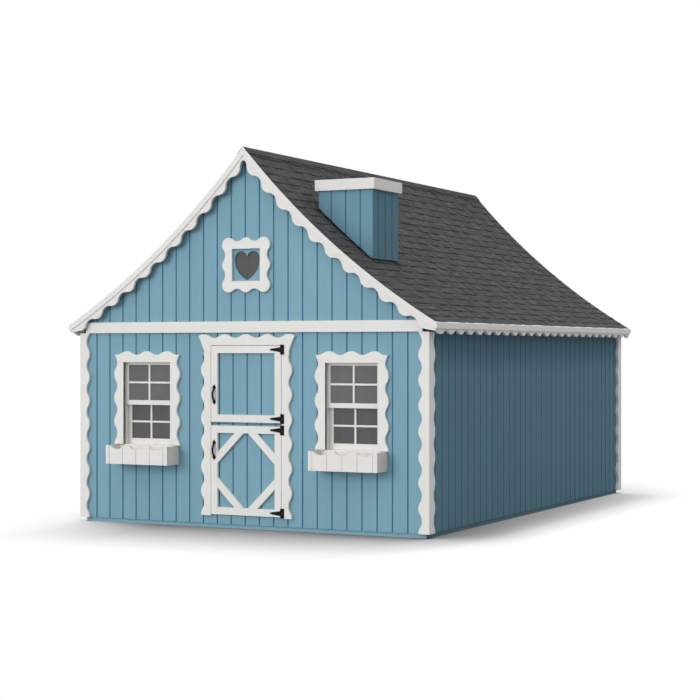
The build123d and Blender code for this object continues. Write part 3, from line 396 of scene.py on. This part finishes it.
# ---- materials -------------------------------------------------------------------------------
def wood_colour(tree, axis, light, dark, rings):
    """Pine: wavy growth rings, fine fibres and a few darker streaks."""
    wave = tree.noise(along(axis, rings, 0.7), detail=2.0, distortion=0.6)
    bands = tree.math("PINGPONG", tree.product(wave, 9.0), 1.0)
    fibres = tree.noise(along(axis, 420.0, 6.0), detail=2.0)
    mixed = tree.sum(tree.product(bands, 0.6), tree.product(fibres, 0.4))
    return tree.mix(tree.spread(mixed, 0.15, 0.85), light, dark), fibres


def raw_wood(name, axis, light=PINE_LIGHT, dark=PINE_DARK, rings=PINE_RINGS):
    tree = Tree(name, light)
    colour, fibres = wood_colour(tree, axis, light, dark, rings)
    roughness = tree.spread(fibres, 0.2, 0.8, 0.62, 0.80)
    return tree.finish(colour, roughness, tree.bump(fibres, 0.0006, 0.6))


def siding_paint(tree, colour, saw, fibres):
    """Paint on rough-sawn sheets: saw marks, fibres, faint bands and clouds, and worn edges."""
    bands = tree.noise((7.0, 7.0, 0.25), detail=2.0)
    clouds = tree.noise((1.6, 1.6, 1.1))
    tone = tree.sum(tree.vary(saw, 0.945, 1.03), tree.vary(bands, -0.035, 0.035))
    tone = tree.sum(tone, tree.vary(clouds, -0.02, 0.02))
    paint = tree.shade(tree.shade(colour, tree.spread(fibres, 0.35, 0.65, 1.0, 1.05)), tone)
    worn = tree.product(tree.edges(0.003), tree.spread(clouds, 0.5, 0.75))
    return tree.mix(tree.product(worn, 0.35), paint, tree.shade(colour, WORN_SIDING))


def painted_siding(name, colour, faces, open_backed=True, groove=GROOVE_TINT, front=None,
                   eaves=False):
    """Rough-sawn plywood siding under satin paint, with bare plywood towards the room.

    faces are its outer faces, for groove_mask. front is a lighter copy of the paint, painted light on
    the faces that look to the front and back. eaves adds painted shade to the top of the sheets, under
    the eaves."""
    tree = Tree(name, colour)
    # painted light: the faces that look to the front and back get the lighter copy of the paint
    if front:
        colour = tree.mix(tree.facing(1), colour, front)
    saw = tree.noise((240.0, 240.0, 5.0), detail=4.0, roughness=0.6)
    fibres = tree.noise((900.0, 900.0, 22.0), detail=2.0)
    paint = siding_paint(tree, colour, saw, fibres)
    paint = tree.tint(groove_mask(tree, faces), paint, groove)
    # painted shadow in the recess over the corner boards
    paint = tree.mix(notch_shadow_mask(tree), paint, tree.shade(paint, NOTCH_SHADE))
    # painted shade under the eaves
    if eaves:
        paint = tree.tint(tree.spread(tree.axes(tree.place)[2], *EAVE_SHADE_BAND), paint, EAVE_SHADE_TINT)
    if open_backed:
        ply, _ = wood_colour(tree, "z", PLY_LIGHT, PLY_DARK, PLY_RINGS)
        paint = tree.mix(indoors_mask(tree), paint, ply)
    height = tree.sum(tree.product(saw, 0.7), tree.product(fibres, 0.3))
    tree.setting("Specular IOR Level", 0.25)
    return tree.finish(paint, tree.vary(saw, 0.58, 0.72), tree.bump(height, 0.0010, 0.55))


def painted_board(name, axis, shaded_reveal=False, side_light_tint=None):
    """Smooth white board: brush marks along it, faint grain, softened and a little worn edges.

    One flag paints shadow on the window side of it, in the reveal. The other colours the faces that
    look sideways, a painted correction for the blue light that the walls throw on them."""
    tree = Tree(name, WHITE)
    brush = tree.noise(along(axis, 330.0, 9.0))
    grain = tree.noise(along(axis, 60.0, 1.5), detail=4.0, distortion=0.3)
    clouds = tree.noise((3.0, 3.0, 3.0))
    tone = tree.sum(tree.vary(brush, 0.975, 1.015), tree.vary(grain, -0.018, 0.018))
    paint = tree.shade(WHITE, tree.sum(tone, tree.vary(clouds, -0.02, 0.015)))
    worn = tree.product(tree.edges(0.0025), tree.spread(clouds, 0.52, 0.72))
    paint = tree.mix(tree.product(worn, 0.30), paint, WORN_WHITE)
    # painted shadow in the window's side reveal
    if shaded_reveal:
        paint = tree.mix(reveal_shadow_mask(tree, 0.0), paint, REVEAL_SHADOW)
    # painted correction on the sideways faces, for the blue light reflected from the walls
    if side_light_tint:
        paint = tree.tint(tree.facing(0), paint, side_light_tint)
    height = tree.sum(tree.product(brush, 0.5), tree.product(grain, 0.5))
    return tree.finish(paint, tree.vary(brush, 0.36, 0.50), tree.bump(height, 0.0006, 0.5))


def base_edge(name):
    """Floor joists: painted with the walls outdoors, with painted light on the front and back and
    painted shade on the sides, and raw pine under the floor.
    """
    tree = Tree(name, BLUE_FRONT)
    place = tree.axes(tree.place)
    side = tree.above(tree.size(place[0]), floor_high.x - SKIN)
    end = tree.above(tree.size(place[1]), floor_high.y - SKIN)
    grain = tree.noise((60.0, 60.0, 300.0))
    # painted light and shade: a lighter copy of the paint on the front and back, a darker one on the
    # sides
    paint = tree.mix(side, times(BLUE_FRONT, BASE_FRONT_SHADE), times(BLUE_SIDE_SHADED, BASE_SIDE_SHADE))
    paint = tree.shade(paint, tree.vary(grain, 0.94, 1.05))
    pine, _ = wood_colour(tree, "y", PINE_LIGHT, PINE_DARK, PINE_RINGS)
    colour = tree.mix(tree.math("MAXIMUM", side, end), pine, paint)
    return tree.finish(colour, tree.vary(grain, 0.50, 0.64), tree.bump(grain, 0.0008, 0.5))


def iron(name):
    """Powder-coated hardware: fine orange-peel, and edges a little lighter in patches, from rub and
    painted highlight.
    """
    tree = Tree(name, IRON)
    peel = tree.noise((900.0, 900.0, 900.0), detail=2.0)
    dust = tree.noise((40.0, 40.0, 40.0), detail=4.0)
    colour = tree.mix(tree.spread(dust, 0.4, 0.8, 0.0, 0.5), IRON, DUSTY_IRON)
    # lighter edges: rubbed wear and painted highlight
    rub_and_highlight = tree.product(tree.edges(0.0012), tree.spread(dust, 0.45, 0.65))
    colour = tree.mix(tree.product(rub_and_highlight, 0.3), colour, IRON_RUB_AND_HIGHLIGHT)
    tree.setting("Specular IOR Level", 0.25)
    return tree.finish(colour, tree.vary(dust, 0.40, 0.56), tree.bump(peel, 0.00025, 0.7))


def window_paint(name, colour=WINDOW_WHITE, shaded_reveal=False):
    """Factory-coated window bars: smooth, with faint dust. With its flag set, painted shadow darkens
    the outer part of a frame's side reveals.
    """
    tree = Tree(name, colour)
    dust = tree.noise((30.0, 30.0, 14.0), detail=4.0)
    fine = tree.noise((500.0, 500.0, 500.0), detail=2.0)
    colour = tree.shade(colour, tree.vary(dust, 0.95, 1.02))
    # painted shadow in the outer part of the frame's side reveals
    if shaded_reveal:
        colour = tree.mix(reveal_shadow_mask(tree, REVEAL_SHADOW_END), colour, REVEAL_SHADOW)
    return tree.finish(colour, tree.vary(dust, 0.28, 0.40), tree.bump(fine, 0.0002, 0.5))


def pane(name, grey):
    """Window glass before a dark room: a painted milky grey reflection, partly glowing, with faint
    streaks.
    """
    tree = Tree(name, grey)
    streaks = tree.noise((22.0, 22.0, 3.0))
    haze = tree.noise((4.0, 4.0, 5.0), detail=2.0)
    tone = tree.sum(tree.vary(streaks, 0.96, 1.04), tree.vary(haze, -0.05, 0.05))
    colour = tree.shade(grey, tone)
    tree.setting("Specular IOR Level", 0.3)
    tree.setting("Emission Color", colour)
    tree.setting("Emission Strength", GLASS_GLOW)
    clear = tree.add("ShaderNodeBsdfTransparent")
    tree.feed(clear.inputs[0], GLASS_CLEAR)
    tree.blend(GLASS_BODY, clear.outputs[0], tree.shader.outputs[0])
    return tree.finish(colour, tree.vary(streaks, 0.05, 0.12))


def shingle_grit(name):
    """Mineral granules: speckle, streaks, a tone of its own for each shingle and tab, painted shade on
    their lower edges, and painted contact shadow around the chimney.
    """
    tree = Tree(name, SHINGLE)
    tone = tree.add("ShaderNodeAttribute", attribute_name="tone").outputs["Fac"]
    grit = tree.add("ShaderNodeTexVoronoi")
    tree.feed(grit.inputs["Vector"], tree.place)
    tree.feed(grit.inputs["Scale"], 520.0)
    speck = tree.noise((700.0, 700.0, 700.0), detail=2.0)
    blot = tree.noise((11.0, 5.0, 11.0), detail=4.0)
    streak = tree.noise((60.0, 7.0, 60.0), detail=4.0, roughness=0.65)
    grey = tree.sum(tree.vary(speck, 0.72, 1.28), tree.vary(blot, -0.14, 0.14))
    grey = tree.sum(grey, tree.spread(streak, 0.36, 0.64, -0.40, 0.40))
    colour = tree.mix(tree.spread(blot, 0.35, 0.65), SHINGLE, SHINGLE_WARM)
    colour = tree.shade(tree.shade(colour, grey), tone)
    # painted contact shadow around the chimney's foot
    colour = tree.mix(chimney_shadow_mask(tree), colour, tree.shade(colour, CHIMNEY_SHADE))
    height = tree.sum(tree.product(grit.outputs["Distance"], -0.6), speck)
    return tree.finish(colour, tree.vary(speck, 0.82, 0.96), tree.bump(height, 0.0012, 0.8))


# ---- the roof covering -----------------------------------------------------------------------
class Shell:
    """Closed solids gathered into one mesh, with a tone for each face."""

    def __init__(self):
        self.points, self.faces, self.tones = [], [], []

    def solid(self, points, faces, tones):
        start = len(self.points)
        self.points += points
        self.faces += [tuple(start + i for i in face) for face in faces]
        self.tones += tones

    def hexahedron(self, bottom, top, tone, butt_shade):
        """A block from four bottom and four top corners, both anticlockwise seen from above.

        Corners 0 and 1 are its lower edge on the roof, which gets a darker tone, as painted shade."""
        faces = [(3, 2, 1, 0), (4, 5, 6, 7), (0, 1, 5, 4), (1, 2, 6, 5), (2, 3, 7, 6), (3, 0, 4, 7)]
        self.solid(bottom + top, faces, [tone, tone, butt_shade, tone, tone, tone])

    def object(self, name, material):
        mesh = bpy.data.meshes.new(name)
        mesh.from_pydata(self.points, [], self.faces)
        layer = mesh.attributes.new("tone", "FLOAT", "FACE")
        layer.data.foreach_set("value", self.tones)
        mesh.materials.append(material)
        mesh.update()
        made = bpy.data.objects.new(name, mesh)
        bpy.context.scene.collection.objects.link(made)
        return made


def roof_point(side, up, y, height):
    """Point of a slope: up metres above the eave along the curve, height over the boards."""
    angle = EAVE_ANGLE + up / DECK_RADIUS
    reach = DECK_RADIUS - height
    return (side * (ARC_X - reach * math.sin(angle)), y, ARC_Z - reach * math.cos(angle))


def roof_block(shell, side, lower, upper, heights, tone, butt_shade):
    """A wedge on the roof.

    lower and upper are (up, y0, y1). heights are bottom and top at the lower edge, then at the
    upper edge."""
    (up0, a0, a1), (up1, b0, b1) = lower, upper
    low0, high0, low1, high1 = heights
    corners = [(up0, a0, low0), (up0, a1, low0), (up1, b1, low1), (up1, b0, low1),
               (up0, a0, high0), (up0, a1, high0), (up1, b1, high1), (up1, b0, high1)]
    points = [roof_point(side, *corner) for corner in corners]
    if side < 0:
        points = [points[i] for i in (1, 0, 3, 2, 5, 4, 7, 6)]
    shell.hexahedron(points[:4], points[4:], tone, butt_shade)


def add_course(shell, side, dice, up, reach):
    """One course of laminated shingles, from the front of the roof to its back."""
    y, back = roof_low.y, roof_high.y
    heights = (0.0, BASE_BUTT, 0.0, BASE_TOP)
    while y < back:
        width = dice.uniform(*TAB_GAP) + dice.uniform(*TAB_WIDTH)
        end = min(y + width, back)
        if back - end < TAB_GAP[0]:
            end = back
        tone = dice.uniform(*COURSE_TONES)
        butt_shade = tone * COURSE_BUTT_SHADE
        roof_block(shell, side, (up, y, end), (reach, y, end), heights, tone, butt_shade)
        add_tab(shell, side, dice, up, reach, y, end)
        y = end


def add_tab(shell, side, dice, up, reach, start, end):
    """The thicker tab laminated over part of one shingle, with a dark strip at its foot as painted
    shadow.
    """
    width = min(dice.uniform(*TAB_WIDTH), (end - start) * TAB_SHARE)
    left = dice.uniform(start + TAB_INSET, end - width - TAB_INSET)
    right = left + width
    lean = TAB_FLARE * dice.uniform(*TAB_LEANS)
    lower = (up - TAB_LAP, left, right)
    upper = (reach, left + lean, right - lean)
    heights = (TAB_SINK, BASE_BUTT + TAB_THICK, TAB_SINK, BASE_TOP + TAB_THIN)
    tone = dice.uniform(*TAB_TONES)
    roof_block(shell, side, lower, upper, heights, tone, tone * TAB_BUTT_SHADE)
    # a dark strip at the tab's foot: painted shadow on the course below
    if up > LIP:
        foot = (lower[0] - LIP, left + LIP_INSET, right - LIP_INSET)
        heights = (TAB_SINK, LIP_HEIGHTS[0], TAB_SINK, LIP_HEIGHTS[1])
        roof_block(shell, side, foot, lower, heights, *LIP_SHADOW_TONES)


def shingle_courses(material):
    """The courses of both slopes, from the eave up."""
    shell = Shell()
    dice = random.Random(7)
    for side in (-1, 1):
        for course in range(COURSES):
            up = course * PITCH
            add_course(shell, side, dice, up, min(up + PITCH, SLOPE - TOP_GAP))
    return shell.object("shingle_courses", material)


def cap_row(y, lift):
    """Pairs of a bottom and a top point across a cap tab, over the ridge from left to right."""
    row = []
    steps = [(-1, i) for i in range(CAP_STEPS + 1)] + [(1, i) for i in reversed(range(CAP_STEPS))]
    for side, i in steps:
        down = CAP_REACH * (1 - i / CAP_STEPS)
        bottom = CAP_REST + lift - CAP_SAG * math.exp(-(down / CAP_SAG_REACH) ** 2)
        pair = [roof_point(side, SLOPE - down, y, height) for height in (bottom, bottom + CAP_THICK)]
        if i == CAP_STEPS:
            pair = [(0.0, y, z) for _, _, z in pair]
        row.append(pair)
    return row


def add_cap_tab(shell, front, back, tone):
    """One cap tab: a strip that follows one slope up, rounds the ridge and follows the other down."""
    near, far = cap_row(front, CAP_LIFT), cap_row(back, 0.0)
    points = [point for (low, high), (far_low, far_high) in zip(near, far)
              for point in (low, high, far_high, far_low)]
    rings = [range(start, start + 4) for start in range(0, len(points), 4)]
    faces = [tuple(rings[0]), tuple(reversed(rings[-1]))]
    for ring, following in zip(rings, rings[1:]):
        for i in range(4):
            j = (i + 1) % 4
            faces.append((ring[i], following[i], following[j], ring[j]))
    shell.solid(points, faces, [tone] * len(faces))


def ridge_tabs(material):
    """Cap tabs bent over the ridge, each lapping the next."""
    shell = Shell()
    dice = random.Random(11)
    length = roof_high.y - roof_low.y
    count = round(length / CAP_PITCH)
    step = length / count
    for k in range(count):
        front = roof_low.y + k * step
        back = min(front + step * CAP_LAP, roof_high.y)
        add_cap_tab(shell, front, back, dice.uniform(*CAP_TONES))
    return shell.object("ridge_tabs", material)


def cover_roof():
    """Puts the courses and the ridge tabs in place of the CAD's plain covering."""
    grit = shingle_grit("shingle_grit")
    for piece, node in ((shingle_courses(grit), "roof_shingles"), (ridge_tabs(grit), "ridge_cap")):
        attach(piece, "house")
        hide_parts(node)


# ---- painting the CAD nodes ------------------------------------------------------------------
def paint(material, *names):
    for name in names:
        for slot in NODES[name].material_slots:
            slot.material = material


def soften(*names):
    """Rounds the sharp edges of these nodes a little, as paint does."""
    for name in names:
        part = NODES[name]
        weld = part.modifiers.new("weld", "WELD")
        weld.merge_threshold = WELD
        bevel = part.modifiers.new("round", "BEVEL")
        bevel.width = PAINT_ROUND
        bevel.segments = 2
        bevel.limit_method = "ANGLE"
        bevel.angle_limit = math.radians(ROUND_ANGLE)
        part.modifiers.new("shade", "WEIGHTED_NORMAL")


def paint_walls():
    ends = ("front_siding_left", "front_siding_right", "front_siding_infill", "front_gable_siding",
            "back_siding", "back_gable_siding")
    paint(painted_siding("siding_ends", BLUE_FRONT, outer_faces((1,), *ends)), *ends)
    faces = outer_faces((0,), "side_siding")
    paint(painted_siding("siding_sides", BLUE_SIDE_SHADED, faces, groove=SIDE_GROOVE_TINT, eaves=True),
          "side_siding")
    for panel in ("upper_leaf_panel", "lower_leaf_panel", "heart_panel"):
        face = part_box(panel)[0].y
        faces = [(1, face, face + GROOVE_REACH)]
        paint(painted_siding("siding_" + panel, BLUE_FRONT, faces, open_backed=False), panel)
    faces = outer_faces((0, 1), "chimney_walls")
    paint(painted_siding("siding_chimney", BLUE_SIDE_SHADED, faces, open_backed=False,
                         groove=SIDE_GROOVE_TINT, front=BLUE_CHIMNEY_FRONT_LIT), "chimney_walls")
    paint(base_edge("base_edge"), "floor_joists")


def paint_trim():
    paint(painted_board("trim_upright", "z"), "corner_boards", "door_jambs", "door_casing",
          "upper_leaf_trim", "lower_leaf_trim")
    paint(painted_board("trim_window", "z", shaded_reveal=True), "window_casings")
    paint(painted_board("trim_level", "x"), "frieze_boards", "heart_frame", "chimney_cap",
          "rake_trim", "rake_strips")
    paint(painted_board("trim_boxes", "x", side_light_tint=BOX_END_LIGHT_TINT), "left_flower_box",
          "right_flower_box")
    paint(painted_board("trim_long", "y"), "eave_trim", "eave_strips", "eave_soffits")
    soften("corner_boards", "door_casing", "window_casings", "frieze_boards", "heart_frame",
           "chimney_cap", "left_flower_box", "right_flower_box")


def paint_hidden_frame():
    paint(raw_wood("pine_upright", "z"), "side_wall_studs", "end_wall_studs", "gable_framing",
          "chimney_posts")
    paint(raw_wood("pine_across", "x"), "opening_headers", "rafters", "collar_ties")
    paint(raw_wood("pine_lengthways", "y"), "wall_plates", "ridge_board", "fascia_backers")
    paint(raw_wood("plywood", "y", PLY_LIGHT, PLY_DARK, PLY_RINGS), "roof_deck", "floor_deck")


def paint_windows():
    paint(window_paint("window_bars"), "upper_sashes", "left_lower_sash", "right_lower_sash")
    paint(window_paint("window_track", TRACK, shaded_reveal=True), "window_frames")
    paint(pane("panes", GLASS), "upper_panes")
    paint(pane("panes_low", GLASS_LOW), "left_lower_pane", "right_lower_pane", "heart_pane")


def paint_hardware():
    paint(iron("powder_coat"), "hinge_plates", "hinge_pins", "lower_hinge_straps",
          "upper_hinge_straps", "hinge_plate_screws", "lower_leaf_screws", "upper_leaf_screws",
          "lower_handle", "upper_handle")


# ---- floor, light and camera -----------------------------------------------------------------
def floor_glow(tree):
    """How bright the camera sees each spot of the floor: less where the house hides the sky."""
    place = tree.axes(tree.place)
    reach = tree.spread(tree.size(place[0]), *REACH_BAND, *SHADOW_REACH)
    open_sky = tree.add("ShaderNodeAmbientOcclusion", samples=16)
    tree.feed(open_sky.inputs["Distance"], reach)
    depth = tree.spread(place[0], *LEE_BAND, *SHADOW_DEPTH)
    depth = tree.product(depth, tree.spread(place[1], *FADE_BAND, 1.0, SHADOW_FADE))
    depth = tree.product(depth, tree.spread(place[0], *LEFT_BAND, SHADOW_LEFT, 1.0))
    return tree.math("POWER", open_sky.outputs["AO"], depth)


def make_floor():
    """The floor: a glow for the camera, and a plain grey that throws some light on the house."""
    mesh = bpy.data.meshes.new("studio_floor")
    corners = [(-1, -1), (1, -1), (1, 1), (-1, 1)]
    points = [(x * FLOOR_REACH, y * FLOOR_REACH, -FLOOR_DROP) for x, y in corners]
    mesh.from_pydata(points, [], [(0, 1, 2, 3)])
    floor = bpy.data.objects.new("studio_floor", mesh)
    bpy.context.scene.collection.objects.link(floor)
    tree = Tree("studio_floor", FLOOR_GREY)
    tree.setting("Roughness", 0.9)
    tree.setting("Specular IOR Level", 0.0)
    glow = tree.add("ShaderNodeEmission")
    tree.feed(glow.inputs["Strength"], floor_glow(tree))
    seen = tree.add("ShaderNodeLightPath").outputs["Is Camera Ray"]
    tree.blend(seen, tree.shader.outputs[0], glow.outputs[0])
    mesh.materials.append(tree.material)


def make_sky():
    """A soft dome, brighter overhead than around, which the camera sees as plain white."""
    world = bpy.data.worlds.new("studio")
    world.use_nodes = True
    tree = world.node_tree
    background = tree.nodes["Background"]
    background.inputs["Color"].default_value = (1.0, 1.0, 1.0, 1.0)
    split = tree.nodes.new("ShaderNodeSeparateXYZ")
    tree.links.new(tree.nodes.new("ShaderNodeTexCoord").outputs["Generated"], split.inputs[0])
    rise = tree.nodes.new("ShaderNodeMapRange")
    tree.links.new(split.outputs[2], rise.inputs[0])
    for socket, number in zip(rise.inputs[1:5], (0.0, 1.0, *SKY)):
        socket.default_value = number
    path = tree.nodes.new("ShaderNodeLightPath")
    choose = tree.nodes.new("ShaderNodeMix")
    tree.links.new(path.outputs["Is Camera Ray"], choose.inputs[0])
    tree.links.new(rise.outputs[0], choose.inputs[2])
    choose.inputs[3].default_value = 1.0
    tree.links.new(choose.outputs[0], background.inputs["Strength"])
    bpy.context.scene.world = world


def make_key():
    """A low wide light from the front left, kept out of reflections."""
    key = bpy.data.lights.new("key", "SUN")
    key.energy = KEY_ENERGY
    key.angle = math.radians(KEY_WIDTH)
    lamp = bpy.data.objects.new("key", key)
    lamp.visible_glossy = False
    lamp.rotation_mode = "QUATERNION"
    lamp.rotation_quaternion = Vector(KEY_FROM).to_track_quat("Z", "Y")
    bpy.context.scene.collection.objects.link(lamp)


def make_camera():
    camera = bpy.data.cameras.new("camera")
    camera.lens = LENS
    camera.sensor_width = SENSOR
    camera.shift_y = SHIFT_UP
    eye = bpy.data.objects.new("camera", camera)
    eye.location = EYE
    eye.rotation_euler = (math.radians(90), 0.0, math.radians(EYE_TURN))
    bpy.context.scene.collection.objects.link(eye)
    bpy.context.scene.camera = eye
    bpy.context.scene.view_settings.view_transform = "Standard"


paint_walls()
paint_trim()
paint_hidden_frame()
paint_windows()
paint_hardware()
cover_roof()
make_floor()
make_sky()
make_key()
make_camera()
